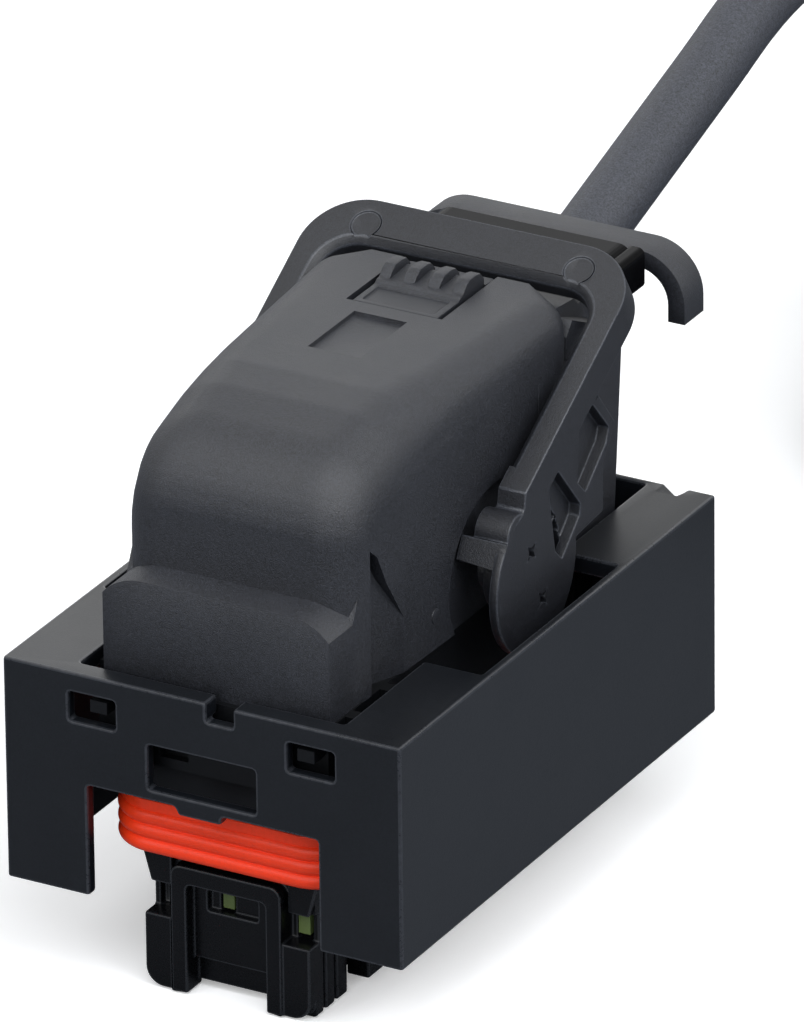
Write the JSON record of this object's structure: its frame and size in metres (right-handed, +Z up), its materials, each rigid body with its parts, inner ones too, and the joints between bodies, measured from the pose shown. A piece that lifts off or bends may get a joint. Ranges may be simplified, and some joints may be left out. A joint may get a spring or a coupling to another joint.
{
  "type": "sealed electrical connector",
  "caption": "Rectangular sealed harness plug in an outer shroud, with a ribbed seal, a hollow wire cover, a pivoting lever with a press latch, and a cable tied to a support arm.",
  "frame": {"origin": "centre of the footprint of the connector without its free cable, on the plane of the retainer's feet", "axes": "+Z up out of the shroud, +Y from the front face towards the cable end, +X across to the right when seen from the front"},
  "size_m": [0.0945, 0.2089, 0.069],
  "materials": {
    "shroud_plastic": "satin moulded",
    "housing_plastic": "satin moulded",
    "retainer_plastic": "semi-gloss moulded",
    "cover_plastic": "fine spark-eroded texture",
    "lever_plastic": "fine grain",
    "seal_rubber": "satin silicone",
    "mat_rubber": "satin silicone",
    "lock_plastic": "satin moulded",
    "contact_metal": "plated",
    "wire_plastic": "extruded",
    "grommet_rubber": "matte",
    "tie_plastic": "gloss",
    "cable_jacket": "speckled matt jacket"
  },
  "bodies": {
    "plug": {"outer_shroud": "shroud_plastic", "plug_housing": "housing_plastic", "interface_seal": "seal_rubber", "front_retainer": "retainer_plastic", "terminal_lock": "lock_plastic", "wire_seal": "mat_rubber", "seal_cover": "housing_plastic", "signal_contacts": "contact_metal", "power_contacts": "contact_metal", "signal_wires": "wire_plastic", "power_wires": "wire_plastic", "wire_bundle": "wire_plastic", "wire_cover": "cover_plastic", "cable_grommet": "grommet_rubber", "cable_tie": "tie_plastic", "cable": "cable_jacket", "cable_coil": "cable_jacket", "cable_tail": "cable_jacket", "end_plug": "housing_plastic", "end_plug_seal": "seal_rubber", "end_plug_boot": "grommet_rubber"},
    "lever": {"lever": "lever_plastic"},
    "latch": {"lock_latch": "cover_plastic"}
  },
  "joints": [
    {"name": "lever_pivot", "type": "hinge", "parent": "plug", "child": "lever", "pos_m": [0, -0.00235, 0.0382], "axis": [1, 0, 0], "range_deg": [0, 75]},
    {"name": "latch_press", "type": "hinge", "parent": "plug", "child": "latch", "pos_m": [0, 0.0022, 0.0599], "axis": [1, 0, 0], "range_deg": [-6, 0], "stiffness_Nm_per_rad": 0.5}
  ]
}
